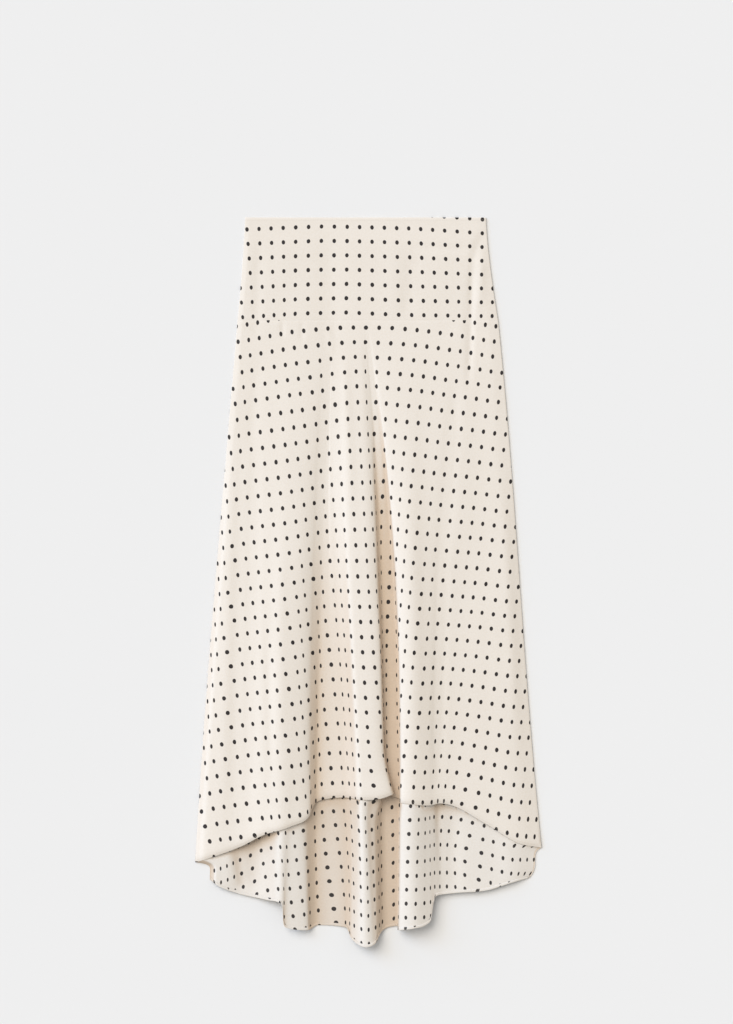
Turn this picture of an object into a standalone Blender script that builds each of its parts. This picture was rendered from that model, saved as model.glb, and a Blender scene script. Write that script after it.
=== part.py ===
"""Asymmetric skirt, laid flat with its front up: a straight hip yoke over a flared skirt, short in front and
long behind, whose soft folds run from the hip seam to the hems.

X runs across the skirt, Y up to the waist and Z up from the surface that it lies on. The origin is on that
surface, under the middle of the skirt's box. Both layers follow one drape, a surface halfway between them:
the front panel is that surface moved out on its upper side, and the back panel on its lower side.
"""

import bpy
import numpy as np

MM = 0.001

# Driving dimensions, in millimetres
CLOTH = 1.2
LAYER_GAP = 0.4
SEAM_GAP = 0.3
WAIST_Y = 528.0
SEAM_Y = 379.5
MID_Y = 32.0
LOW_Y = -229.0
DEEP_Y = -505.0
WAIST_LEFT_X = -178.5
WAIST_RIGHT_X = 169.5
HIP_CURVE = 1.4

# The drape's height where the back panel touches the surface
FLOOR = CLOTH + LAYER_GAP / 2
# How the folds deepen below the hip seam: 1 is evenly, and more is slower at first
FOLD_START = 1.2
# The front yoke's loose sides stand off the back; this fades above the seam and below it
PUFF_AT_WAIST = 0.3
PUFF_TOP_DEPTH = 50.0
PUFF_BOTTOM_DEPTH = 190.0
# How far the back hem's corners lie inside the front hem's
LEFT_CORNER_IN = 22.0
RIGHT_CORNER_IN = 9.0

YOKE_ROWS = 5
FRONT_ROWS = 19
BACK_ROWS_BELOW = 5
COLUMNS_PER_FOLD_LINE = 2
LONG_STRETCH = 26.0
MOST_MITRE = 1.3
# A curve's slope at a fold line is at most this many times the smaller slope beside it
STEEPEST = 2.5

# One row for each line that runs down the skirt along a fold. x is its place at the hip seam, at the middle,
# low down and at the deepest level; z is the drape's height there; puff is how far the front stands off the
# back at the hip seam; front_hem and back_hem are where the line ends, as y.
COLUMNS = ("x_seam", "x_mid", "x_low", "x_deep", "z_mid", "z_low", "puff", "front_hem", "back_hem")
FOLD_LINES = {
    "left_side": (-189.0, -218.5, -239.0, -255.2, 1.4, 1.4, 0.0, -406, -431),
    "left_roll": (-182.0, -209.0, -228.0, -241.0, 6.0, 7.5, 3.0, -402, -438),
    "left_dip": (-163.0, -188.0, -190.0, -185.0, 3.5, 4.5, 0.3, -384, -452),
    "left_crest": (-124.0, -143.0, -146.0, -149.0, 11.0, 16.0, 1.2, -364, -460),
    "left_brow": (-105.0, -120.0, -124.0, -124.0, 13.5, 19.0, 1.5, -358, -465),
    "left_shoulder": (-90.0, -103.0, -108.0, -115.0, 13.0, 17.5, 1.6, -353, -498),
    "left_lip": (-67.0, -83.0, -85.5, -82.0, 7.5, 12.0, 1.6, -338, -504),
    "left_tuck": (-62.0, -80.0, -91.0, -88.0, 3.5, 6.0, 1.6, -335, -502),
    "left_floor": (-57.0, -70.0, -80.0, -74.0, 1.4, 1.4, 1.6, -321, -497),
    "mid_foot": (-52.0, -54.0, -44.0, -33.0, 3.5, 4.5, 1.6, -312, -500),
    "mid_step": (-45.0, -40.0, -29.0, -24.0, 9.0, 11.0, 1.6, -313, -517),
    "mid_crest": (-28.0, -25.0, -13.0, -4.0, 14.0, 19.0, 1.6, -315, -528),
    "mid_shoulder": (-16.0, -5.0, 3.0, 14.0, 14.5, 19.5, 1.6, -314, -523),
    "mid_lip": (-10.0, 12.5, 19.0, 27.0, 8.5, 13.0, 1.6, -306, -509),
    "mid_tuck": (-8.0, 13.5, 12.0, 20.0, 3.8, 6.5, 1.6, -306, -505),
    "deep_left": (-6.0, 18.0, 21.0, 29.0, 1.4, 1.4, 1.6, -308, -500),
    "deep_right": (-3.5, 33.0, 43.0, 42.0, 1.4, 1.4, 1.6, -313, -498),
    "right_tuck": (-1.5, 36.5, 52.0, 51.0, 3.8, 6.5, 1.6, -316, -500),
    "right_lip": (0.5, 38.5, 46.0, 46.0, 8.5, 13.0, 1.6, -318, -503),
    "right_crest": (26.0, 58.0, 62.0, 64.0, 17.0, 23.0, 1.6, -321, -501),
    "right_step": (80.0, 83.0, 85.0, 90.0, 13.0, 17.5, 1.6, -323, -491),
    "right_foot": (128.0, 98.0, 93.5, 99.0, 8.0, 9.5, 1.2, -322, -455),
    "right_dip": (150.0, 108.0, 99.5, 114.0, 4.0, 4.5, 0.3, -320, -452),
    "right_plateau": (160.0, 165.0, 169.0, 176.0, 9.0, 11.5, 2.5, -351, -446),
    "right_fall": (172.0, 195.0, 211.0, 227.0, 7.0, 8.5, 3.4, -379, -435),
    "right_side": (187.0, 216.0, 235.5, 264.4, 1.4, 1.4, 0.0, -385, -429),
}

CREAM = (0.86, 0.80, 0.72)
CREAM_IN_SHADE = (0.80, 0.73, 0.64)
CLOTH_ROUGHNESS = 0.7


def column(name):
    """One column of the table of fold lines, as an array with a value for each line."""
    place = COLUMNS.index(name)
    return np.array([row[place] for row in FOLD_LINES.values()], float)


def lengths_between_lines():
    """The cloth between each fold line and the next, low down on the skirt."""
    return np.hypot(np.diff(column("x_low")), np.diff(column("z_low")))


def column_places():
    """Where the mesh's columns lie: the number of the fold line on their left, and the share of the way on."""
    line, share = [], []
    for number, length in enumerate(lengths_between_lines()):
        steps = COLUMNS_PER_FOLD_LINE + (length > LONG_STRETCH)
        line += [number] * steps
        share += [step / steps for step in range(steps)]
    line.append(len(FOLD_LINES) - 2)
    share.append(1.0)
    return np.array(line), np.array(share)


def across(values, places):
    """A smooth curve through the fold lines' values (last axis), with no overshoot, read at the columns."""
    line, share = places
    lengths = lengths_between_lines()
    slopes = np.diff(values) / lengths
    inner = (slopes[..., 1:] * lengths[:-1] + slopes[..., :-1] * lengths[1:]) / (lengths[:-1] + lengths[1:])
    same_way = slopes[..., 1:] * slopes[..., :-1] > 0
    limit = STEEPEST * np.minimum(abs(slopes[..., 1:]), abs(slopes[..., :-1]))
    inner = np.where(same_way, np.clip(inner, -limit, limit), 0.0)
    tangents = np.concatenate([slopes[..., :1], inner, slopes[..., -1:]], axis=-1)
    if values.ndim == 1:
        start, end = values[line], values[line + 1]
        leave, arrive = tangents[line], tangents[line + 1]
    else:
        each = np.arange(len(line))
        start, end = values[:, each, line], values[:, each, line + 1]
        leave, arrive = tangents[:, each, line], tangents[:, each, line + 1]
    step = lengths[line]
    rest = 1 - share
    bend = share * rest * (rest * leave - share * arrive) * step
    return start * rest**2 * (1 + 2 * share) + end * share**2 * (3 - 2 * share) + bend


def level_weights(y):
    """How much each of the four levels counts at a height y, for the cubic through all four."""
    levels = (SEAM_Y, MID_Y, LOW_Y, DEEP_Y)
    weights = []
    for level in levels:
        others = [other for other in levels if other != level]
        weights.append(np.prod([(y - other) / (level - other) for other in others], axis=0))
    return np.stack(weights, axis=-1)


def smooth(share):
    share = np.clip(share, 0.0, 1.0)
    return share * share * (3 - 2 * share)


def drape(y, places):
    """The drape's points on lines of constant y: an array of rows, columns and x, y, z."""
    at_levels = np.stack([column(name) for name in ("x_seam", "x_mid", "x_low", "x_deep")])
    x = level_weights(y) @ at_levels
    from_seam = np.clip((SEAM_Y - y) / (SEAM_Y - MID_Y), 0.0, 1.0) ** FOLD_START
    from_mid = np.sin(np.pi / 2 * np.clip((MID_Y - y) / (MID_Y - LOW_Y), 0.0, 1.0))
    z_mid, z_low = column("z_mid"), column("z_low")
    z = FLOOR + (z_mid - FLOOR) * from_seam[..., None] + (z_low - z_mid) * from_mid[..., None]
    height = np.maximum(across(z, places), FLOOR)
    return np.stack([across(x, places), y, height], axis=-1)


def outward(points):
    """For each point, the way out of the cloth in its own cross-section, long enough to keep the wall even."""
    run = np.diff(points[..., [0, 2]], axis=1)
    run /= np.linalg.norm(run, axis=-1, keepdims=True)
    sides = np.stack([-run[..., 1], run[..., 0]], axis=-1)
    both = np.concatenate([sides[:, :1], sides], axis=1) + np.concatenate([sides, sides[:, -1:]], axis=1)
    length = np.linalg.norm(both, axis=-1, keepdims=True)
    both *= np.minimum(2 / length, MOST_MITRE) / length
    return np.stack([both[..., 0], np.zeros_like(both[..., 0]), both[..., 1]], axis=-1)


def puff(y, places):
    """How far the front stands off the back near the hip."""
    above = smooth((WAIST_Y - y) / PUFF_TOP_DEPTH)
    below = 1 - smooth((SEAM_Y - y) / PUFF_BOTTOM_DEPTH)
    return across(column("puff"), places) * (PUFF_AT_WAIST + (1 - PUFF_AT_WAIST) * above) * below


def front_walls(points, places):
    """The front panel's outer and inner faces over the drape."""
    out = outward(points)
    lift = np.zeros_like(points)
    lift[..., 2] = puff(points[..., 1], places)
    return points + out * (LAYER_GAP / 2 + CLOTH) + lift, points + out * LAYER_GAP / 2 + lift


def back_walls(points):
    """The back panel's upper and lower faces under the drape. The lower one lies flat on the surface."""
    out = outward(points)
    lower = points - out * (LAYER_GAP / 2 + CLOTH)
    lower[..., 2] = np.maximum(lower[..., 2], 0.0)
    return points - out * LAYER_GAP / 2, lower


def skirt_rows(places):
    """Each row's y in every column: rows down to the front hem, and the further ones to the back hem."""
    top = SEAM_Y - SEAM_GAP
    front_hem = across(column("front_hem"), places)
    back_hem = across(column("back_hem"), places)
    down = np.linspace(0, 1, FRONT_ROWS + 1)[:, None]
    further = np.linspace(0, 1, BACK_ROWS_BELOW + 1)[1:, None]
    return top + (front_hem - top) * down, front_hem + (back_hem - front_hem) * further


def corners_drawn_in(points, places):
    """The rows below the front hem, with both ends drawn in towards the nearest dip or crest."""
    line, share = places
    names = list(FOLD_LINES)
    held_left, held_right = (
        np.flatnonzero((line == names.index(name)) & (share == 0)) for name in ("left_dip", "right_plateau")
    )
    x = points[..., 0]
    left = np.clip((x[:, held_left] - x) / (x[:, held_left] - x[:, :1]), 0, 1)
    right = np.clip((x - x[:, held_right]) / (x[:, -1:] - x[:, held_right]), 0, 1)
    down = np.linspace(0, 1, len(points) + 1)[1:, None]
    drawn = points.copy()
    drawn[..., 0] += (1 - (1 - down) ** 3) * (LEFT_CORNER_IN * left - RIGHT_CORNER_IN * right)
    return drawn


def yoke_points(places):
    """The yoke's drape, which is flat: rows from the waist to the hip seam."""
    down = np.linspace(0, 1, YOKE_ROWS + 1)[:, None]
    x_seam = across(column("x_seam"), places)
    x_waist = np.interp(x_seam, (x_seam[0], x_seam[-1]), (WAIST_LEFT_X, WAIST_RIGHT_X))
    x = x_waist + (x_seam - x_waist) * down**HIP_CURVE
    y = np.broadcast_to(WAIST_Y + (SEAM_Y - WAIST_Y) * down, x.shape)
    return np.stack([x, y, np.full(x.shape, FLOOR)], axis=-1)


def cloth_material(name, colour):
    material = bpy.data.materials.new(name)
    material.use_nodes = True
    shader = material.node_tree.nodes["Principled BSDF"]
    shader.inputs["Base Color"].default_value = (*colour, 1.0)
    shader.inputs["Roughness"].default_value = CLOTH_ROUGHNESS
    shader.inputs["Metallic"].default_value = 0.0
    return material


def grid_faces(rows, columns):
    """Triangles of a grid of points whose rows run down and whose columns run to the right, facing up."""
    faces = []
    for row in range(rows - 1):
        for place in range(columns - 1):
            top = row * columns + place
            bottom = top + columns
            faces += [(top, bottom, bottom + 1), (top, bottom + 1, top + 1)]
    return faces


def rim_of(rows, columns):
    """The numbers of the grid's border points, in order, counterclockwise from above."""
    left = [row * columns for row in range(rows)]
    bottom = [(rows - 1) * columns + place for place in range(1, columns)]
    right = [row * columns + columns - 1 for row in range(rows - 2, -1, -1)]
    top = list(range(columns - 2, 0, -1))
    return left + bottom + right + top


def wall(name, outer, inner, colour):
    """A closed wall between two grids of points, as an object with its own material."""
    rows, columns = outer.shape[:2]
    count = rows * columns
    up = grid_faces(rows, columns)
    faces = up + [(c + count, b + count, a + count) for a, b, c in up]
    border = rim_of(rows, columns)
    for here, there in zip(border, border[1:] + border[:1]):
        faces += [(there, here, here + count), (there, here + count, there + count)]
    points = np.concatenate([outer.reshape(-1, 3), inner.reshape(-1, 3)]) * MM
    mesh = bpy.data.meshes.new(name)
    mesh.from_pydata(points.tolist(), [], faces)
    mesh.shade_smooth()
    mesh.set_sharp_from_angle(angle=np.radians(50))
    mesh.materials.append(cloth_material(name + "_cloth", colour))
    made = bpy.data.objects.new(name, mesh)
    bpy.context.scene.collection.objects.link(made)
    return made


def clear_scene():
    for old in list(bpy.data.objects):
        bpy.data.objects.remove(old, do_unlink=True)


def build_skirt():
    places = column_places()
    yoke = yoke_points(places)
    to_front_hem, to_back_hem = skirt_rows(places)
    short = drape(to_front_hem, places)
    long = np.concatenate([short, corners_drawn_in(drape(to_back_hem, places), places)])
    wall("front_yoke", *front_walls(yoke, places), CREAM)
    wall("back_yoke", *back_walls(yoke), CREAM_IN_SHADE)
    wall("front_skirt", *front_walls(short, places), CREAM)
    wall("back_skirt", *back_walls(long), CREAM_IN_SHADE)


clear_scene()
build_skirt()
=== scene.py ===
"""Looks of an asymmetric skirt that lies flat with its front up: light cream crepe with small dark dots.

Each panel is a thin sheet of cloth on the drape that its solid follows, with narrow turned hems, a turned
waist edge, a sewn hip seam and closed side seams. All sizes here are in millimetres until a mesh is made.
"""

import bpy
import numpy as np
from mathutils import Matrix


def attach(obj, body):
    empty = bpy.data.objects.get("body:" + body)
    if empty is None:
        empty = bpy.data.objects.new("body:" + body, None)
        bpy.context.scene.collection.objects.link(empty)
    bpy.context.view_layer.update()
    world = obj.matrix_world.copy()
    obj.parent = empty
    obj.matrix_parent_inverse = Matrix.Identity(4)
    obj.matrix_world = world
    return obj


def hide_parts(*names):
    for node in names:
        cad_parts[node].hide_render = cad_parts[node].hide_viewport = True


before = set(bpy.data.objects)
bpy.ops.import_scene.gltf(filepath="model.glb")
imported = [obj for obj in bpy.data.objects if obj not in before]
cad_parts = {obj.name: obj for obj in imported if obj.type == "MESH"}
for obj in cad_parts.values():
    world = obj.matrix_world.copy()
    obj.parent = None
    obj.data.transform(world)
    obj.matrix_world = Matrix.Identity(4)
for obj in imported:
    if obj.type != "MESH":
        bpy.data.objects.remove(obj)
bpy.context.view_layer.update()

MM = 0.001

# Driving dimensions of the skirt, most of them as its solids have them
WAIST_Y = 528.0
SEAM_Y = 379.5
UPPER_Y = 264.0
MID_Y = 32.0
LOW_Y = -229.0
HEM_Y = -301.6
DEEP_Y = -505.0
WAIST_LEFT_X = -178.5
WAIST_RIGHT_X = 169.5
HIP_CURVE = 1.4
FLOOR = 1.4
FOLD_START = 1.2
PUFF_AT_WAIST = 0.3
PUFF_TOP_DEPTH = 50.0
PUFF_BOTTOM_DEPTH = 190.0
LEFT_CORNER_IN = 22.0
MOST_MITRE = 1.3
STEEPEST = 2.5

# What only the cloth has: its own right corner, the middle fold's swinging tip, the valleys that open below
# the front hem, the shade painted under that hem, the tuck at the hip seam, and how the hem first lifts, then
# drops
RIGHT_CORNER_IN = 11.0
RIGHT_CORNER_ROUND = 12.0
CORNER_HASTE = 9
CORNER_DELAY = 4
TIP_SWING_Y = -236.0
TIP_Y = -306.0
TIP_SWING_MOST = 1.15
TIP_SWING_CURVE = 1.7
OPENING_Y = -290.0
OPENING_LENGTH = 60.0
HEM_SHADE = 0.24
SEAM_TUCK = 1.6
TUCK_DEPTH = 0.34
LOWEST_LIFT = -0.7
HEM_LIFT = 0.7
HEM_LIFT_DEPTH = 35.0
HEM_DROP = 1.3
HEM_DROP_DEPTH = 6.0

# The cloth, its turnings and stitches, and how finely it is meshed
CLOTH = 0.3
LAYER_AT = 0.8
FRONT_HEM_TURN = 4.0
BACK_HEM_TURN = 3.6
WAIST_TURN = 6.0
HEM_BEND = 0.25
FRONT_WAIST_BEND = 0.4
BACK_WAIST_BEND = 0.2
SEAM_DEPTH = 0.08
STITCH_PITCH = 3.0
COLUMN_EVERY = 3.0
FRONT_ROWS = 165
BACK_ROWS_BELOW = 26
YOKE_ROWS = 40
LAST_STEP = 0.001
SEAM_TURN_ANGLES = np.radians((30.0, 60.0, 90.0))
SIDE_STEP = 0.42
TURN_FACETS = 5
TURN_STEPS = (0.4, 1.0)
SEAM_GROOVE_WIDTH = 0.8

# One row for each line that runs down the skirt along a fold. x is its place at the hip seam, at the middle,
# low down and at the deepest level; z is the drape's height there; puff is how far the front stands off the
# back at the hip seam; front_hem and back_hem are where the line ends, as y.
COLUMNS = ("x_seam", "x_mid", "x_low", "x_deep", "z_mid", "z_low", "puff", "front_hem", "back_hem")
FOLD_LINES = {
    "left_side": (-189.0, -218.5, -239.0, -255.2, 1.4, 1.4, 0.0, -406, -431),
    "left_roll": (-182.0, -209.0, -228.0, -241.0, 6.0, 7.5, 1.2, -402, -438),
    "left_dip": (-163.0, -188.0, -190.0, -185.0, 7.0, 9.5, 1.2, -384, -452),
    "left_crest": (-124.0, -143.0, -146.0, -149.0, 11.5, 16.0, 1.3, -364, -460),
    "left_brow": (-105.0, -120.0, -124.0, -127.0, 13.5, 19.0, 1.5, -358, -465),
    "left_shoulder": (-90.0, -103.0, -108.0, -119.0, 13.0, 17.5, 1.6, -353, -499),
    "left_lip": (-67.0, -83.0, -86.5, -82.0, 8.5, 12.0, 1.6, -338, -504),
    "left_tuck": (-62.0, -77.0, -81.0, -81.0, 6.0, 8.2, 1.6, -327, -502),
    "left_floor": (-55.0, -66.0, -73.0, -73.0, 3.4, 3.6, 1.6, -318, -497),
    "mid_foot": (-48.0, -49.0, -37.0, -33.0, 5.0, 6.2, 1.6, -312, -500),
    "mid_step": (-42.0, -37.0, -26.0, -24.0, 9.0, 11.0, 1.6, -313, -517),
    "mid_crest": (-28.0, -25.0, -13.0, -4.0, 14.0, 19.0, 1.6, -315, -528),
    "mid_shoulder": (-16.0, -5.0, 3.0, 14.0, 14.5, 19.5, 1.6, -314, -523),
    "mid_lip": (-10.0, 12.5, 21.5, 27.0, 9.5, 14.0, 1.6, -306, -509),
    "mid_tuck": (-8.0, 13.5, 20.0, 24.0, 7.5, 10.5, 1.6, -306, -505),
    "deep_left": (-6.0, 18.0, 24.0, 29.0, 4.0, 5.5, 1.6, -308, -500),
    "deep_right": (-3.5, 33.0, 43.0, 41.0, 4.0, 5.5, 1.6, -313, -498),
    "right_tuck": (-1.5, 36.5, 48.0, 45.0, 6.0, 8.5, 1.6, -316, -500),
    "right_lip": (0.5, 38.5, 46.0, 44.0, 11.5, 16.5, 1.6, -318, -503),
    "right_crest": (26.0, 58.0, 62.0, 64.0, 17.0, 23.0, 1.6, -321, -501),
    "right_step": (80.0, 83.0, 85.0, 90.0, 13.5, 18.5, 1.6, -323, -491),
    "right_foot": (128.0, 98.0, 93.5, 99.0, 11.5, 16.0, 1.4, -322, -455),
    "right_dip": (150.0, 108.0, 99.5, 114.0, 10.5, 14.5, 1.3, -320, -452),
    "right_plateau": (160.0, 165.0, 169.0, 176.0, 6.5, 9.0, 1.3, -351, -446),
    "right_fall": (172.0, 195.0, 211.0, 227.0, 5.5, 6.8, 1.3, -379, -435),
    "right_side": (187.0, 216.0, 235.5, 264.4, 1.4, 1.4, 0.0, -385, -429),
}

# Where the back lies deeper than the front, as z in the middle and low down
BACK_HEIGHTS = {
    "left_dip": (3.5, 4.5),
    "left_crest": (7.0, 9.0),
    "left_brow": (12.0, 17.5),
    "left_shoulder": (12.0, 15.0),
    "left_lip": (7.5, 9.0),
    "left_tuck": (3.0, 4.4),
    "left_floor": (1.4, 1.4),
    "mid_foot": (3.0, 3.6),
    "mid_step": (8.0, 10.0),
    "mid_shoulder": (13.5, 15.5),
    "mid_lip": (8.0, 8.5),
    "mid_tuck": (3.8, 4.8),
    "deep_left": (1.4, 2.4),
    "deep_right": (1.4, 2.4),
    "right_tuck": (3.8, 6.5),
    "right_lip": (10.0, 15.0),
    "right_step": (11.5, 15.5),
    "right_foot": (9.5, 12.0),
    "right_dip": (7.0, 8.5),
    "right_plateau": (6.0, 7.0),
    "right_fall": (5.0, 6.0),
}

# How the dots lie on the cloth. k counts the dots across at a fold line, at some heights down the skirt. lag
# is how far down the rows lie there, against those in the skirt's middle. The back panel shows only below
# the front hem, so it has two levels there. Its count skips one inside the wall of the right-hand fold.
PRINT_COLUMNS = (
    "k_upper", "k_mid", "k_hem", "lag_seam", "lag_upper", "lag_mid", "lag_hem",
    "k_back_high", "k_back_low", "lag_back",
)
PRINT_LINES = {
    "left_side": (-1.3, -5.0, -9.9, 18, 26, 27, 36, -4.2, -4.9, 48),
    "left_roll": (-0.8, -4.0, -9.1, 17, 25, 26, 33, -3.4, -4.0, 46),
    "left_dip": (0.3, -2.7, -6.5, 14, 22, 21, 26, 0.2, -0.6, 32),
    "left_crest": (2.8, 0.2, -3.9, 7, 16, 15, 21, 2.9, 1.4, 15),
    "left_brow": (4.1, 1.6, -2.2, 4, 13, 12, 19, 4.5, 2.8, 12),
    "left_shoulder": (5.1, 2.6, -1.3, 3, 11, 9, 18, 5.6, 4.2, 12),
    "left_lip": (6.4, 4.1, 0.7, 1, 8, 5, 12, 7.2, 6.4, 8),
    "left_tuck": (6.8, 4.4, 1.5, 1, 7, 4, 5, 7.5, 7.2, 6),
    "left_floor": (7.4, 5.3, 2.4, 0, 5, 2, 0, 8.35, 7.9, 4),
    "mid_foot": (7.8, 6.5, 5.2, 0, 4, 0, -3, 11.0, 10.1, 1),
    "mid_step": (8.3, 7.55, 6.35, 0, 3, 0, -2, 12.2, 11.7, 4),
    "mid_crest": (9.1, 8.5, 8.1, 0, 1, 0, -1, 13.6, 13.6, 11),
    "mid_shoulder": (10.25, 9.8, 9.1, 0, 0, 0, 0, 14.8, 14.8, 8),
    "mid_lip": (11.25, 11.7, 10.3, 0, 0, -1, -2, 16.2, 16.2, 4),
    "mid_tuck": (11.55, 12.2, 11.8, 0, 0, -3, -8, 17.0, 17.0, 0),
    "deep_left": (11.7, 13.0, 13.5, 0, 0, -5, -16, 17.45, 17.5, -2),
    "deep_right": (12.05, 14.1, 14.9, 0, 0, -5, -17, 18.8, 18.6, -7),
    "right_tuck": (12.15, 14.5, 16.3, 0, 0, -4, -8, 19.4, 19.2, -8),
    "right_lip": (12.45, 14.8, 17.7, 0, 1, -3, 0, 20.1, 19.9, -8),
    "right_crest": (13.95, 16.5, 18.8, 0, 4, 2, 2, 21.2, 21.7, -7),
    "right_step": (16.35, 18.1, 20.5, 4, 8, 5, 3, 23.6, 23.9, -9),
    "right_foot": (18.4, 19.2, 21.2, 10, 13, 6, 2, 25.0, 25.2, -11),
    "right_dip": (19.55, 19.8, 22.0, 13, 15, 7, 1, 25.8, 27.0, -11),
    "right_plateau": (21.35, 23.4, 26.6, 15, 19, 12, 13, 30.3, 31.1, 3),
    "right_fall": (22.45, 25.2, 29.4, 17, 22, 16, 22, 33.3, 33.8, 11),
    "right_side": (23.6, 26.6, 31.5, 19, 24, 17, 23, 35.8, 36.7, 11),
}
BACK_PRINT_LEVELS = (-359.6, -490.1)
DOT_PITCH = 16.3

# Half a dot's width and height, as shares of the distance to the next dot
DOT_HALF_WIDTH = 0.145
DOT_HALF_HEIGHT = 0.152

# Dots counted across at the hip seam, at these places
SEAM_DOTS = (
    (-192.5, 0.0), (-113.8, 5.0), (-42.0, 9.0), (35.5, 13.0), (108.0, 17.0), (185.6, 22.0), (193.0, 22.5),
)

# The rows of dots down the middle of the skirt, and how far apart they are on the back below the front hem
ROWS_AT_Y = (-397.0, -294.4, -167.6, 8.1, 144.1, 283.9, 368.9, 432.0)
ROW_NUMBERS = (43.0, 38.0, 32.0, 24.0, 18.0, 12.0, 8.0, 5.0)
FRONT_ROW_PITCH = 21.0
BACK_ROW_Y = -391.5
BACK_ROW_PITCH = 20.2

# The yoke's own print: dots counted across at these places, at the waist and at the hip seam
YOKE_DOTS_AT_WAIST = (
    (-196.0, 0.0), (-177.6, 1.0), (-124.0, 4.0), (-30.6, 9.0),
    (40.6, 13.0), (109.5, 17.0), (165.3, 20.0), (183.0, 21.0),
)
YOKE_DOTS_AT_SEAM = (
    (-197.5, -1.0), (-182.0, 0.0), (-106.6, 5.0), (-32.6, 9.0),
    (63.1, 14.0), (115.3, 17.0), (179.1, 21.0), (194.0, 22.0),
)
YOKE_LAG_AT_WAIST = ((-177.6, 3.5), (-67.4, -0.6), (-30.6, 0.0), (60.2, 2.2), (110.9, 5.8), (165.3, 10.2))
YOKE_LAG_AT_SEAM = ((-182.0, 7.0), (-98.6, 1.5), (-30.6, 0.0), (45.7, 3.6), (165.3, 5.0))
YOKE_FIRST_ROW_Y = 514.9
YOKE_ROW_PITCH = 20.7


def column(name):
    """One column of the table of fold lines, as an array with a value for each line."""
    place = COLUMNS.index(name)
    return np.array([row[place] for row in FOLD_LINES.values()], float)


def print_columns(*names):
    """Columns of the table of the print, as an array with a row for each and a value for each fold line."""
    return np.array([[PRINT_LINES[line][PRINT_COLUMNS.index(name)] for line in FOLD_LINES] for name in names])


def lengths_between_lines():
    """The cloth between each fold line and the next, low down on the skirt."""
    return np.hypot(np.diff(column("x_low")), np.diff(column("z_low")))


def column_places():
    """Where the mesh's columns lie: the number of the fold line on their left, and the share on from it."""
    line, share = [], []
    for number, length in enumerate(lengths_between_lines()):
        steps = max(4, int(np.ceil(length / COLUMN_EVERY)))
        line += [number] * steps
        share += [step / steps for step in range(steps)]
    line.append(len(FOLD_LINES) - 2)
    share.append(1.0)
    return np.array(line), np.array(share)


def across(values, places):
    """A smooth curve through the fold lines' values (last axis), with no overshoot, read at the columns."""
    line, share = places
    lengths = lengths_between_lines()
    slopes = np.diff(values) / lengths
    inner = (slopes[..., 1:] * lengths[:-1] + slopes[..., :-1] * lengths[1:]) / (lengths[:-1] + lengths[1:])
    same_way = slopes[..., 1:] * slopes[..., :-1] > 0
    limit = STEEPEST * np.minimum(abs(slopes[..., 1:]), abs(slopes[..., :-1]))
    inner = np.where(same_way, np.clip(inner, -limit, limit), 0.0)
    tangents = np.concatenate([slopes[..., :1], inner, slopes[..., -1:]], axis=-1)
    if values.ndim == 1:
        start, end = values[line], values[line + 1]
        leave, arrive = tangents[line], tangents[line + 1]
    else:
        each = np.arange(len(line))
        start, end = values[:, each, line], values[:, each, line + 1]
        leave, arrive = tangents[:, each, line], tangents[:, each, line + 1]
    step = lengths[line]
    rest = 1 - share
    bend = share * rest * (rest * leave - share * arrive) * step
    return start * rest**2 * (1 + 2 * share) + end * share**2 * (3 - 2 * share) + bend


def weights_at(y, levels):
    """How much each level counts at a height y, for the polynomial through all of them."""
    weights = []
    for level in levels:
        others = [other for other in levels if other != level]
        weights.append(np.prod([(y - other) / (level - other) for other in others], axis=0))
    return np.stack(weights, axis=-1)


def smooth(share):
    share = np.clip(share, 0.0, 1.0)
    return share * share * (3 - 2 * share)


def heights(of_back):
    """The drape's height at each fold line, in the middle and low down."""
    z_mid, z_low = column("z_mid"), column("z_low")
    if of_back:
        for name, (mid, low) in BACK_HEIGHTS.items():
            line = list(FOLD_LINES).index(name)
            z_mid[line], z_low[line] = mid, low
    return z_mid, z_low


def drape(y, places, shift, of_back=False):
    """The drape's points on lines of constant y: an array of rows, columns and x, y, z."""
    at_levels = np.stack([column(name) for name in ("x_seam", "x_mid", "x_low", "x_deep")])
    x = weights_at(y, (SEAM_Y, MID_Y, LOW_Y, DEEP_Y)) @ at_levels + shift(y)
    from_seam = np.clip((SEAM_Y - y) / (SEAM_Y - MID_Y), 0.0, 1.0) ** FOLD_START
    from_mid = np.sin(np.pi / 2 * np.clip((MID_Y - y) / (MID_Y - LOW_Y), 0.0, 1.0))
    z_mid, z_low = heights(of_back)
    z = FLOOR + (z_mid - FLOOR) * from_seam[..., None] + (z_low - z_mid) * from_mid[..., None]
    height = np.maximum(across(z, places), FLOOR)
    return np.stack([across(x, places), y, height], axis=-1)


def outward(points):
    """For each point, the way out of the cloth in its own cross-section, long enough to keep layers even."""
    run = np.diff(points[..., [0, 2]], axis=1)
    run /= np.linalg.norm(run, axis=-1, keepdims=True)
    sides = np.stack([-run[..., 1], run[..., 0]], axis=-1)
    both = np.concatenate([sides[:, :1], sides], axis=1) + np.concatenate([sides, sides[:, -1:]], axis=1)
    length = np.linalg.norm(both, axis=-1, keepdims=True)
    both *= np.minimum(2 / length, MOST_MITRE) / length
    return np.stack([both[..., 0], np.zeros_like(both[..., 0]), both[..., 1]], axis=-1)


def puff(y, places):
    """How far the front stands off the back near the hip."""
    above = smooth((WAIST_Y - y) / PUFF_TOP_DEPTH)
    below = 1 - smooth((SEAM_Y - y) / PUFF_BOTTOM_DEPTH)
    return across(column("puff"), places) * (PUFF_AT_WAIST + (1 - PUFF_AT_WAIST) * above) * below


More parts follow.
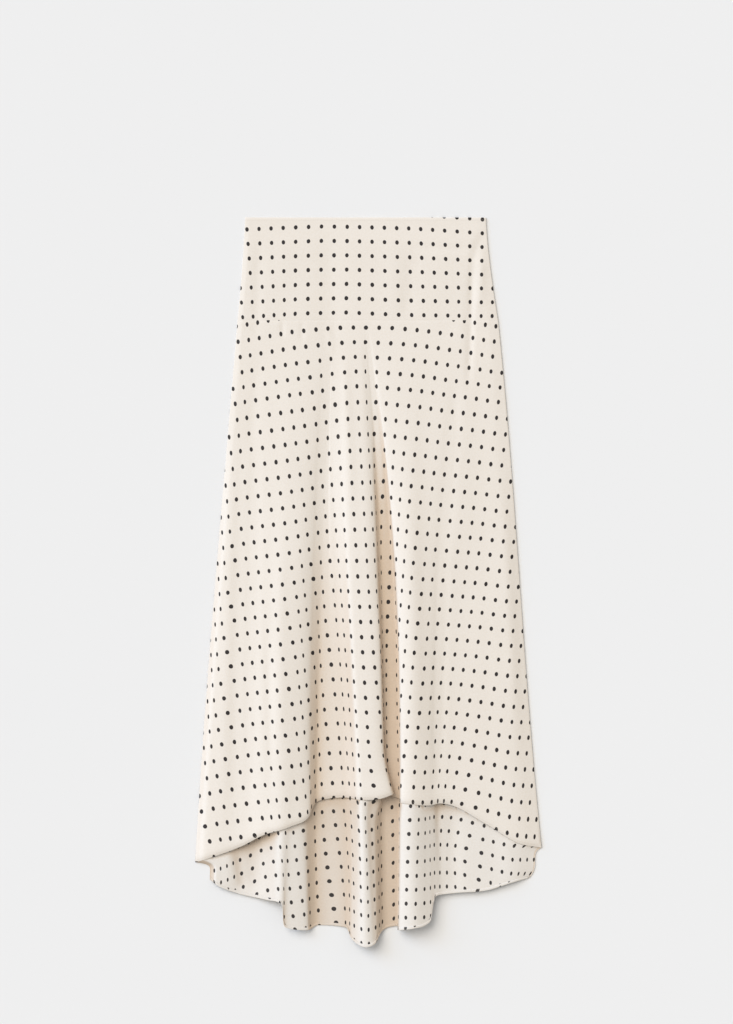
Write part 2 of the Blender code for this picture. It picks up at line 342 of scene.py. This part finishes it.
# The front's creases, from one end to the other. Each has a width, and a height that is negative for a trough
CREASES = (
    # x0, y0, x1, y1, width, height
    (-158.0, 500.0, -163.0, 350.0, 8.0, -0.7),
    (-120.0, 505.0, -128.0, 420.0, 16.0, 0.5),
    (-58.0, 510.0, -54.0, 330.0, 17.0, -1.0),
    (34.0, 500.0, 38.0, 380.0, 12.0, 0.5),
    (64.0, 480.0, 56.0, 384.0, 6.5, -1.3),
    (56.0, 484.0, 162.0, 482.0, 6.0, -0.5),
    (100.0, 500.0, 104.0, 400.0, 16.0, 0.4),
    (165.0, 506.0, 151.0, 462.0, 7.0, -1.0),
    (151.0, 476.0, 145.0, 280.0, 5.5, -1.4),
    (164.0, 470.0, 160.0, 392.0, 6.0, 0.8),
    (-125.0, 378.0, -124.0, 356.0, 3.2, -0.8),
    (-96.0, 378.0, -97.0, 348.0, 3.5, -0.7),
    (117.0, 378.0, 118.0, 352.0, 3.5, -0.8),
    (60.0, 377.0, 61.0, 357.0, 3.5, -0.4),
    (-60.0, 377.0, -52.0, 330.0, 5.0, 0.5),
    (-160.0, 330.0, -172.0, 180.0, 9.0, -0.6),
    (-196.0, 180.0, -213.0, -380.0, 11.0, 1.3),
    (-164.0, 240.0, -172.0, -370.0, 9.0, -1.1),
    (-146.0, -60.0, -140.0, -300.0, 6.0, -0.8),
    (-128.0, 60.0, -130.0, -250.0, 10.0, 0.8),
    (-36.0, 330.0, -24.0, 100.0, 7.0, 0.8),
    (62.0, 340.0, 70.0, -260.0, 14.0, 0.8),
    (128.0, 300.0, 108.0, 40.0, 9.0, -1.2),
    (108.0, 90.0, 99.0, -300.0, 8.0, -1.6),
    (196.0, 150.0, 214.0, -240.0, 9.0, 0.7),
)

# The back's own creases, which show below the front hem
BACK_CREASES = (
    (-166.0, -330.0, -168.0, -460.0, 16.0, -2.5),
    (-205.0, -380.0, -200.0, -450.0, 9.0, 1.0),
    (-190.0, -390.0, -182.0, -450.0, 6.0, -1.2),
    (-72.0, -330.0, -66.0, -500.0, 9.0, -0.6),
    (120.0, -320.0, 122.0, -470.0, 12.0, -1.8),
    (200.0, -360.0, 205.0, -450.0, 14.0, 1.0),
)

# A crease fades in and out by a smooth step that would take this share of its length, and that is this far
# along at the crease's very end
CREASE_FADE = 0.35
CREASE_END = 0.2


def creases(points, table):
    """The height that a table of creases adds at each point. Each fades out towards its ends."""
    height = np.zeros(points.shape[:-1])
    for x0, y0, x1, y1, width, depth in table:
        along = np.array((x1 - x0, y1 - y0))
        length = np.hypot(*along)
        along /= length
        offset = points[..., :2] - np.array((x0, y0))
        run = offset @ along / length
        aside = offset @ np.array((-along[1], along[0]))
        fade = smooth(run / CREASE_FADE + CREASE_END) * smooth((1 - run) / CREASE_FADE + CREASE_END)
        height += depth * fade * np.exp(-((aside / width) ** 2))
    return height


def on_lines(per_line):
    """An array with a value for each fold line: the one given for it, or 0."""
    return np.array([per_line.get(line, 0.0) for line in FOLD_LINES])


def tip_swing(y):
    """How far the middle fold's edge swings to the right just above the front hem, for each fold line."""
    swing = on_lines({"mid_shoulder": 6.0, "mid_lip": 13.0, "mid_tuck": 13.0, "deep_left": 4.5})
    down = np.clip((TIP_SWING_Y - y) / (TIP_SWING_Y - TIP_Y), 0.0, TIP_SWING_MOST)
    return (down**TIP_SWING_CURVE)[..., None] * swing


def valley_opening(y):
    """How far the back's folds draw off the valleys beside them below the front hem, for each fold line."""
    opening = on_lines({
        "left_shoulder": -2.0, "left_lip": -5.0, "left_tuck": -1.5,
        "mid_shoulder": -5.0, "mid_lip": -9.5, "mid_tuck": -3.5, "right_tuck": -3.0, "right_lip": -2.0,
    })
    return smooth((OPENING_Y - y) / OPENING_LENGTH)[..., None] * opening


def layer(points, side, lift=0.0):
    """A sheet on one side of the drape, whose side edges turn in to meet the other sheet."""
    out = outward(points)
    run = points[:, [1, -2]] - points[:, [0, -1]]
    run[..., 1] = 0
    run /= -np.linalg.norm(run, axis=-1, keepdims=True)
    sheet = points + out * (LAYER_AT * side)
    sheet[..., 2] += lift
    turned = [
        points[:, [0, -1]] + LAYER_AT * (side * np.cos(angle) * out[:, [0, -1]] + np.sin(angle) * run)
        for angle in SEAM_TURN_ANGLES
    ]
    left = np.stack([pair[:, 0] for pair in reversed(turned)], axis=1)
    right = np.stack([pair[:, 1] for pair in turned], axis=1)
    return np.concatenate([left, sheet, right], axis=1)


def sky_hidden(points):
    """How much of the sky each point's neighbours in its own row hide, from 0 on a crest to 1 in a slit."""
    hidden = np.zeros(points.shape[:2])
    for row, line in enumerate(points):
        reach = line[None, :, 0] - line[:, None, 0]
        rise = line[None, :, 2] - line[:, None, 2]
        sine = np.clip(rise, 0, None) / np.maximum(np.hypot(reach, rise), 1.0)
        to_right = np.where(reach > 0, sine, 0).max(axis=1)
        to_left = np.where(reach < 0, sine, 0).max(axis=1)
        hidden[row] = (to_right + to_left) / 2
    return hidden


class Sheet:
    """A grid of points with, at each, the print's coordinates, the stitching's and how much shade is painted
    into the fold.
    """

    def __init__(self, points, k, row, from_edge):
        extra = len(SEAM_TURN_ANGLES)
        steps = np.arange(1, extra + 1) * SIDE_STEP / DOT_PITCH
        flat = (0, 0), (extra, extra)
        k = np.concatenate([k[:, :1] - steps[::-1], k, k[:, -1:] + steps], axis=1)
        self.points = points
        self.prints = np.stack([k, np.pad(row, flat, mode="edge")], axis=-1)
        self.edges = np.stack([k * DOT_PITCH, np.pad(from_edge, flat, mode="edge")], axis=-1)
        # How much warm shade is painted into the cloth's colour here, from how much of the sky the fold hides
        self.shade = sky_hidden(points)

    def turn(self, radius, width, side, pitch):
        """Turn the cloth over to one side past its last row, and lay it back on itself."""
        edge = self.points[-1]
        along = edge - self.points[-2]
        along /= np.linalg.norm(along, axis=-1, keepdims=True)
        normal = np.cross(along, np.gradient(edge, axis=0))
        normal *= side / np.linalg.norm(normal, axis=-1, keepdims=True)
        rounded = [
            (edge + radius * (np.sin(angle) * along + (1 - np.cos(angle)) * normal), radius * angle)
            for angle in np.linspace(0, np.pi, TURN_FACETS + 1)[1:]
        ]
        laid_back = [
            (edge + 2 * radius * normal - along * width * step, radius * np.pi + width * step)
            for step in TURN_STEPS
        ]
        last_print = self.prints[-1]
        for points, length in rounded + laid_back:
            self.add_row(points, last_print + (0.0, length / pitch), -length)

    def add_row(self, points, prints, from_edge):
        edges = np.stack([prints[:, 0] * DOT_PITCH, np.full(len(prints), from_edge)], axis=-1)
        self.points = np.concatenate([self.points, points[None]])
        self.prints = np.concatenate([self.prints, prints[None]])
        self.edges = np.concatenate([self.edges, edges[None]])
        self.shade = np.concatenate([self.shade, self.shade[-1:]])

    def tuck_top(self, up, down):
        """Run the cloth on above its first row, where it sinks under the sheet beyond the seam."""
        self.points = np.concatenate([self.points[:1] + (0.0, up, -down), self.points])
        for name in ("prints", "edges", "shade"):
            values = getattr(self, name)
            setattr(self, name, np.concatenate([values[:1], values]))

    def flip(self):
        """Number the rows from the other end."""
        for name in ("points", "prints", "edges", "shade"):
            setattr(self, name, getattr(self, name)[::-1])


def front_print(points, places):
    """The print's coordinates on the front panel, where a dot is at each pair of whole numbers."""
    y = points[..., 1]
    weights = weights_at(y, (SEAM_Y, UPPER_Y, MID_Y, HEM_Y))
    k_seam = np.interp(column("x_seam"), *zip(*SEAM_DOTS))
    k = weights @ np.vstack([k_seam, print_columns("k_upper", "k_mid", "k_hem")])
    lag = weights @ print_columns("lag_seam", "lag_upper", "lag_mid", "lag_hem")
    row = np.interp(y + across(lag, places), ROWS_AT_Y, ROW_NUMBERS)
    return across(k, places), row


def back_print(points, places):
    """The print's coordinates on the back panel."""
    y = points[..., 1]
    k = weights_at(y, BACK_PRINT_LEVELS) @ print_columns("k_back_high", "k_back_low")
    row = (BACK_ROW_Y - y - across(print_columns("lag_back")[0], places)) / BACK_ROW_PITCH
    return across(k, places), row


def yoke_print(points):
    """The print's coordinates on a yoke."""
    x, y = points[..., 0], points[..., 1]
    down = (WAIST_Y - y) / (WAIST_Y - SEAM_Y)
    at_waist, at_seam, lag_at_waist, lag_at_seam = (
        np.interp(x, *zip(*knots))
        for knots in (YOKE_DOTS_AT_WAIST, YOKE_DOTS_AT_SEAM, YOKE_LAG_AT_WAIST, YOKE_LAG_AT_SEAM)
    )
    lag = lag_at_waist + (lag_at_seam - lag_at_waist) * down
    row = (YOKE_FIRST_ROW_Y - y - lag) / YOKE_ROW_PITCH
    return at_waist + (at_seam - at_waist) * down, row


def cloth_object(name, sheet, material):
    """A sheet of cloth as a mesh, with the print and stitching as UV maps, and the painted fold shade as an
    attribute.
    """
    rows, columns = sheet.points.shape[:2]
    corner = np.arange((rows - 1) * columns).reshape(rows - 1, columns)[:, :-1].ravel()
    faces = np.stack([corner, corner + columns, corner + columns + 1, corner + 1], axis=1)
    mesh = bpy.data.meshes.new(name)
    mesh.from_pydata((sheet.points.reshape(-1, 3) * MM).tolist(), [], faces.tolist())
    for map_name, values in (("print", sheet.prints), ("edge", sheet.edges)):
        uv = mesh.uv_layers.new(name=map_name)
        uv.uv.foreach_set("vector", values.reshape(-1, 2)[faces.ravel()].astype(np.float32).ravel())
    shade = mesh.attributes.new("fold_shade", "FLOAT", "POINT")
    shade.data.foreach_set("value", sheet.shade.astype(np.float32).ravel())
    mesh.shade_smooth()
    mesh.materials.append(material)
    made = bpy.data.objects.new(name, mesh)
    bpy.context.scene.collection.objects.link(made)
    thick = made.modifiers.new("cloth", "SOLIDIFY")
    thick.thickness = CLOTH * MM
    thick.offset = 0.0
    return made


def skirt_rows(places):
    """Each row's y in every column: rows down to the front hem, and the further ones to the back hem."""
    front_hem = across(column("front_hem"), places)
    back_hem = across(column("back_hem"), places)
    down = np.linspace(0, 1, FRONT_ROWS + 1)[:, None]
    further = np.linspace(0, 1, BACK_ROWS_BELOW + 1)[1:, None]
    return SEAM_Y + (front_hem - SEAM_Y) * down, front_hem + (back_hem - front_hem) * further


def corners_drawn_in(points, places):
    """The rows below the front hem, with both ends drawn in towards the nearest dip or crest."""
    line, share = places
    names = list(FOLD_LINES)
    held_left, held_right = (
        np.flatnonzero((line == names.index(name)) & (share == 0)) for name in ("left_dip", "right_plateau")
    )
    x = points[..., 0]
    left = np.clip((x[:, held_left] - x) / (x[:, held_left] - x[:, :1]), 0, 1)
    right = np.clip((x - x[:, held_right]) / (x[:, -1:] - x[:, held_right]), 0, 1)
    down = np.linspace(0, 1, len(points) + 1)[1:, None]
    drawn = points.copy()
    at_once = 1 - (1 - down) ** CORNER_HASTE
    drawn[..., 0] += at_once * LEFT_CORNER_IN * left
    drawn[..., 0] -= (at_once * RIGHT_CORNER_IN + down**CORNER_DELAY * RIGHT_CORNER_ROUND) * right
    return drawn


def yoke_points(places):
    """The yoke's drape, which is flat: rows from the waist to the hip seam, where the last two are close."""
    down = np.append(np.linspace(0, 1, YOKE_ROWS + 1)[:-1], (1 - LAST_STEP, 1))[:, None]
    x_seam = across(column("x_seam"), places)
    x_waist = np.interp(x_seam, (x_seam[0], x_seam[-1]), (WAIST_LEFT_X, WAIST_RIGHT_X))
    x = x_waist + (x_seam - x_waist) * down**HIP_CURVE
    y = np.broadcast_to(WAIST_Y + (SEAM_Y - WAIST_Y) * down, x.shape)
    return np.stack([x, y, np.full(x.shape, FLOOR)], axis=-1)


def seam_groove(y):
    """Both edges of the hip seam sink towards the layer beneath."""
    return -SEAM_DEPTH * np.exp(-(((y - SEAM_Y) / SEAM_GROOVE_WIDTH) ** 2))


def lift_of_front(points, places):
    """How far the front's own puff, creases and seam carry it off the drape, none of it at the side seams."""
    y = points[..., 1]
    lift = puff(y, places) + creases(points, CREASES) + seam_groove(y)
    lift[:, [0, -1]] = 0
    return np.maximum(lift, LOWEST_LIFT)


def make_front_skirt(places, material):
    y, _ = skirt_rows(places)
    points = drape(y, places, tip_swing)
    above_hem = y - y[-1]
    lift = lift_of_front(points, places)
    lift += HEM_LIFT * smooth(1 - above_hem / HEM_LIFT_DEPTH)
    lift -= HEM_DROP * smooth(1 - above_hem / HEM_DROP_DEPTH)
    lift = np.maximum(lift, LOWEST_LIFT)
    k, row = front_print(points, places)
    sheet = Sheet(layer(points, 1, lift), k, row, above_hem)
    sheet.turn(HEM_BEND, FRONT_HEM_TURN, -1, FRONT_ROW_PITCH)
    sheet.tuck_top(SEAM_TUCK, TUCK_DEPTH)
    return cloth_object("front_skirt_cloth", sheet, material)


def under_front_hem(y, places):
    """How much shade is painted on the back just below the front's hem, where the two lie apart."""
    _, front_z = heights(of_back=False)
    _, back_z = heights(of_back=True)
    gap = across(front_z - back_z, places) + 2 * LAYER_AT
    below = np.clip(across(column("front_hem"), places) - y, 0.0, None)
    return HEM_SHADE * (1 - below / np.hypot(below, 2 * gap)) * (below > 0)


def make_back_skirt(places, material):
    to_front_hem, to_back_hem = skirt_rows(places)
    short = drape(to_front_hem, places, valley_opening, of_back=True)
    long = corners_drawn_in(drape(to_back_hem, places, valley_opening, of_back=True), places)
    points = np.concatenate([short, long])
    points[..., 2] = np.maximum(points[..., 2] + creases(points, BACK_CREASES), FLOOR)
    y = points[..., 1]
    k, row = back_print(points, places)
    sheet = Sheet(layer(points, -1), k, row, y - y[-1])
    turned_columns = len(SEAM_TURN_ANGLES)
    no_rows, sides = (0, 0), (turned_columns, turned_columns)
    # Painted shadow of the front hem, added to the back's painted fold shade just below that hem
    sheet.shade += np.pad(under_front_hem(y, places), (no_rows, sides), mode="edge")
    sheet.turn(HEM_BEND, BACK_HEM_TURN, 1, BACK_ROW_PITCH)
    return cloth_object("back_skirt_cloth", sheet, material)


def make_yoke(name, places, side, material):
    points = yoke_points(places)
    y = points[..., 1]
    lift = lift_of_front(points, places) if side > 0 else 0.0
    k, row = yoke_print(points)
    sheet = Sheet(layer(points, side, lift), k, row, WAIST_Y - y)
    sheet.flip()
    sheet.turn(FRONT_WAIST_BEND if side > 0 else BACK_WAIST_BEND, WAIST_TURN, side, -YOKE_ROW_PITCH)
    sheet.flip()
    return cloth_object(name, sheet, material)


# The scales of the patterns in the cloth and the floor, where a larger one is finer
GRAIN = 1400.0
PEBBLES = 430.0
WEAVE = 420.0
CLOUDS = 9.0
DOT_FRINGE = 300.0
FLOOR_CLOUDS = 1.3

# A dot's edge, as shares of its half width: where it lies, and how far it varies, frays and blurs
DOT_EDGE = 1.07
DOT_VARIES = 0.06
DOT_FRAYS = 0.2
DOT_BLURS = 0.09

# What pebbles and sewing thread make of the cloth's colour, the warm shade painted into deep folds and under
# the front hem, the cloth's sheen, and the floor's greys
PEBBLE_TINT = (0.97, 0.965, 0.96)
PAINTED_FOLD_SHADE = (0.80, 0.695, 0.59)
STITCH_COLOUR = (0.60, 0.53, 0.45)
SHEEN_TINT = (1.0, 0.95, 0.88, 1.0)
FLOOR_DARK = (0.80, 0.80, 0.80)
FLOOR_LIGHT = (0.81, 0.81, 0.81)
STITCH_SHOWS = 0.35
GRAIN_SHOWS = 0.12

# A stitch fades out between these distances from its line, in millimetres, and between these distances from
# its own middle along the line, as shares of the stitch pitch
STITCH_SIDE = (0.42, 0.22)
STITCH_TIP = (0.40, 0.32)

# How high pebbles, stitches and weave stand against the grain, whose height is in metres, and how rough it is
GRAIN_METRES = 0.00012
BUMP_STRENGTH = 0.4
PEBBLE_HEIGHT = 1.6
STITCH_HEIGHT = 1.2
WEAVE_HEIGHT = 0.35
LEAST_ROUGH = 0.5
ROUGH_SPREAD = 0.16

# The stage: a light's tilt about X and Y and its spread are in degrees, the floor and the camera's place in
# metres
FLOOR_HALF = 8.0
KEY_ENERGY, KEY_SPREAD, KEY_TILT, KEY_COLOUR = 2.1, 50.0, (-26.0, -32.0), (1.0, 0.95, 0.88)
LOW_ENERGY, LOW_SPREAD, LOW_TILT, LOW_COLOUR = 1.3, 34.0, (-30.0, -68.0), (0.35, 0.6, 1.0)
SKY_COLOUR = (1.0, 0.984, 0.95, 1.0)
SKY_STRENGTH = 0.516
CAMERA_PLACE = (-0.0029, 0.1015, 8.249)
LENS_MM = 200.0
SENSOR_MM = 36.0


class Nodes:
    """Short ways to add nodes to a material and join them."""

    def __init__(self, name):
        self.material = bpy.data.materials.new(name)
        self.material.use_nodes = True
        self.tree = self.material.node_tree
        self.shader = self.tree.nodes["Principled BSDF"]

    def add(self, kind, **settings):
        node = self.tree.nodes.new("ShaderNode" + kind)
        for key, value in settings.items():
            setattr(node, key, value)
        return node

    def join(self, output, socket):
        self.tree.links.new(output, socket)

    def math(self, operation, first, second=None, third=None):
        node = self.add("Math", operation=operation)
        for place, value in enumerate((first, second, third)):
            if value is None:
                continue
            if isinstance(value, (int, float)):
                node.inputs[place].default_value = value
            else:
                self.join(value, node.inputs[place])
        return node.outputs[0]

    def mix(self, share, first, second, blend="MIX"):
        node = self.add("Mix", data_type="RGBA", blend_type=blend)
        if isinstance(share, (int, float)):
            node.inputs[0].default_value = share
        else:
            self.join(share, node.inputs[0])
        for socket, value in ((node.inputs[6], first), (node.inputs[7], second)):
            if isinstance(value, tuple):
                socket.default_value = (*value, 1.0)
            else:
                self.join(value, socket)
        return node.outputs[2]

    def noise(self, scale, detail=2.0, roughness=0.5, coordinates=None):
        node = self.add("TexNoise")
        node.inputs["Scale"].default_value = scale
        node.inputs["Detail"].default_value = detail
        node.inputs["Roughness"].default_value = roughness
        if coordinates is not None:
            self.join(coordinates, node.inputs["Vector"])
        return node.outputs["Fac"]

    def between(self, value, low, high):
        """0 below the low value, 1 above the high one, and smooth between."""
        node = self.add("MapRange", interpolation_type="SMOOTHSTEP")
        self.join(value, node.inputs["Value"])
        node.inputs["From Min"].default_value = low
        node.inputs["From Max"].default_value = high
        return node.outputs["Result"]

    def uv(self, name):
        split = self.add("SeparateXYZ")
        self.join(self.add("UVMap", uv_map=name).outputs[0], split.inputs[0])
        return split.outputs[0], split.outputs[1]


def on_dots(nodes, place, dot_width, dot_height):
    """Where the printed dots are: one at each pair of whole numbers of the print's coordinates."""
    offsets, cell_id = [], nodes.add("CombineXYZ")
    for number, output in enumerate(nodes.uv("print")):
        cell = nodes.math("ROUND", output)
        nodes.join(cell, cell_id.inputs[number])
        offsets.append(nodes.math("SUBTRACT", output, cell))
    chance = nodes.add("TexWhiteNoise", noise_dimensions="2D")
    nodes.join(cell_id.outputs[0], chance.inputs["Vector"])
    squares = []
    for offset, size in zip(offsets, (dot_width, dot_height)):
        scaled = nodes.math("DIVIDE", offset, size)
        squares.append(nodes.math("MULTIPLY", scaled, scaled))
    distance = nodes.math("SQRT", nodes.math("ADD", *squares))
    fringe = nodes.noise(DOT_FRINGE, 1.0, coordinates=place)
    ragged = nodes.math("MULTIPLY_ADD", fringe, DOT_FRAYS, distance)
    edge = nodes.math("MULTIPLY_ADD", chance.outputs["Value"], DOT_VARIES, DOT_EDGE)
    return nodes.between(nodes.math("SUBTRACT", edge, ragged), -DOT_BLURS, DOT_BLURS)


def on_stitches(nodes, from_edge):
    """Where the stitches are: short dashes in a line, this far from the hem or the waist."""
    along, away = nodes.uv("edge")
    off_line = nodes.math("ABSOLUTE", nodes.math("SUBTRACT", nodes.math("ABSOLUTE", away), from_edge))
    on_line = nodes.between(off_line, *STITCH_SIDE)
    in_stitch = nodes.math("FRACT", nodes.math("DIVIDE", along, STITCH_PITCH))
    beat = nodes.math("ABSOLUTE", nodes.math("SUBTRACT", in_stitch, 0.5))
    return nodes.math("MULTIPLY", on_line, nodes.between(beat, *STITCH_TIP))


def dotted_crepe(name, cream, shade, dot, stitch_from_edge, deep_from, deep_to):
    """Crepe with a fine pebbled grain, faint threads, a soft sheen, printed dots and warm shade painted into
    its folds.

    A fold's painted shade turns warm between deep_from and deep_to, which say how much of the sky is hidden
    there.
    """
    nodes = Nodes(name)
    place = nodes.add("TexCoord").outputs["Object"]
    grain = nodes.noise(GRAIN, 3.0, 0.65, place)
    pebbles = nodes.noise(PEBBLES, 2.0, 0.6, place)
    cloud = nodes.noise(CLOUDS, 2.0, 0.5, place)
    base = nodes.mix(cloud, shade, cream)
    grained = nodes.mix(nodes.math("MULTIPLY", grain, GRAIN_SHOWS), base, shade)
    speckled = nodes.mix(nodes.between(pebbles, 0.35, 0.65), grained, PEBBLE_TINT, "MULTIPLY")
    printed = nodes.mix(on_dots(nodes, place, DOT_HALF_WIDTH, DOT_HALF_HEIGHT), speckled, dot)

    # Painted shade: where a fold hides much of the sky, or the back lies just below the front hem, the colour
    # is darkened to a warm tan
    hidden = nodes.add("Attribute", attribute_type="GEOMETRY", attribute_name="fold_shade").outputs["Fac"]
    deep = nodes.between(hidden, deep_from, deep_to)
    with_painted_fold_shade = nodes.mix(deep, printed, PAINTED_FOLD_SHADE, "MULTIPLY")
    stitches = on_stitches(nodes, stitch_from_edge)
    colour = nodes.mix(nodes.math("MULTIPLY", stitches, STITCH_SHOWS), with_painted_fold_shade, STITCH_COLOUR)
    nodes.join(colour, nodes.shader.inputs["Base Color"])

    threads = nodes.add("TexWave", wave_type="BANDS", bands_direction="X")
    threads.inputs["Scale"].default_value = WEAVE
    threads.inputs["Distortion"].default_value = 2.0
    threads.inputs["Detail"].default_value = 2.0
    nodes.join(place, threads.inputs["Vector"])
    woven = nodes.math("MULTIPLY_ADD", threads.outputs["Fac"], WEAVE_HEIGHT, grain)
    pebbled = nodes.math("MULTIPLY_ADD", pebbles, PEBBLE_HEIGHT, woven)
    height = nodes.math("MULTIPLY_ADD", stitches, STITCH_HEIGHT, pebbled)
    bump = nodes.add("Bump")
    bump.inputs["Strength"].default_value = BUMP_STRENGTH
    bump.inputs["Distance"].default_value = GRAIN_METRES
    nodes.join(height, bump.inputs["Height"])
    nodes.join(bump.outputs[0], nodes.shader.inputs["Normal"])

    rough = nodes.math("MULTIPLY_ADD", grain, ROUGH_SPREAD, LEAST_ROUGH)
    nodes.join(rough, nodes.shader.inputs["Roughness"])
    nodes.shader.inputs["Specular IOR Level"].default_value = 0.35
    nodes.shader.inputs["Sheen Weight"].default_value = 0.12
    nodes.shader.inputs["Sheen Roughness"].default_value = 0.45
    nodes.shader.inputs["Sheen Tint"].default_value = SHEEN_TINT
    return nodes.material


def floor_material():
    nodes = Nodes("pale_floor")
    place = nodes.add("TexCoord").outputs["Object"]
    cloud = nodes.noise(FLOOR_CLOUDS, 2.0, 0.5, place)
    colour = nodes.mix(cloud, FLOOR_DARK, FLOOR_LIGHT)
    nodes.join(colour, nodes.shader.inputs["Base Color"])
    nodes.shader.inputs["Roughness"].default_value = 0.95
    nodes.shader.inputs["Specular IOR Level"].default_value = 0.05
    return nodes.material


def add_sun(name, energy, spread, tilt, colour):
    """A broad light from far off. It shines straight down, and is then tilted about X and Y by degrees."""
    light = bpy.data.lights.new(name, "SUN")
    light.energy = energy
    light.angle = np.radians(spread)
    light.color = colour
    made = bpy.data.objects.new(name, light)
    made.rotation_euler = (*np.radians(tilt), 0.0)
    bpy.context.scene.collection.objects.link(made)


def make_stage():
    """A pale floor, soft daylight from the upper left, and a camera straight above."""
    mesh = bpy.data.meshes.new("floor")
    half = FLOOR_HALF
    corners = [(-half, -half, 0), (half, -half, 0), (half, half, 0), (-half, half, 0)]
    mesh.from_pydata(corners, [], [(0, 1, 2, 3)])
    mesh.materials.append(floor_material())
    floor = bpy.data.objects.new("floor", mesh)
    bpy.context.scene.collection.objects.link(floor)

    add_sun("key_light", KEY_ENERGY, KEY_SPREAD, KEY_TILT, KEY_COLOUR)
    add_sun("low_window", LOW_ENERGY, LOW_SPREAD, LOW_TILT, LOW_COLOUR)

    world = bpy.data.worlds.new("soft_sky")
    world.use_nodes = True
    sky = world.node_tree.nodes["Background"]
    sky.inputs["Color"].default_value = SKY_COLOUR
    sky.inputs["Strength"].default_value = SKY_STRENGTH
    bpy.context.scene.world = world

    lens = bpy.data.cameras.new("camera")
    lens.lens = LENS_MM
    lens.sensor_width = SENSOR_MM
    lens.clip_end = 60.0
    camera = bpy.data.objects.new("camera", lens)
    camera.location = CAMERA_PLACE
    bpy.context.scene.collection.objects.link(camera)
    bpy.context.scene.camera = camera
    bpy.context.scene.view_settings.view_transform = "Standard"
    return floor


make_stage()
places = column_places()
front_cloth = dotted_crepe(
    "dotted_crepe",
    cream=(0.816, 0.757, 0.688),
    shade=(0.786, 0.725, 0.651),
    dot=(0.018, 0.014, 0.014),
    stitch_from_edge=3.2,
    deep_from=0.19,
    deep_to=0.46,
)
back_cloth = dotted_crepe(
    "dotted_crepe_inside",
    cream=(0.79, 0.745, 0.69),
    shade=(0.76, 0.713, 0.655),
    dot=(0.03, 0.026, 0.026),
    stitch_from_edge=3.0,
    deep_from=0.16,
    deep_to=0.40,
)

front_yoke = make_yoke("front_yoke_cloth", places, 1, front_cloth)
back_yoke = make_yoke("back_yoke_cloth", places, -1, back_cloth)
front_skirt = make_front_skirt(places, front_cloth)
back_skirt = make_back_skirt(places, back_cloth)

for piece, node, slot in (
    (front_yoke, "front_yoke", "dotted_crepe_front"),
    (back_yoke, "back_yoke", "dotted_crepe_back"),
    (front_skirt, "front_skirt", "dotted_crepe_front"),
    (back_skirt, "back_skirt", "dotted_crepe_back"),
):
    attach(piece, "root")
    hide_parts(node)
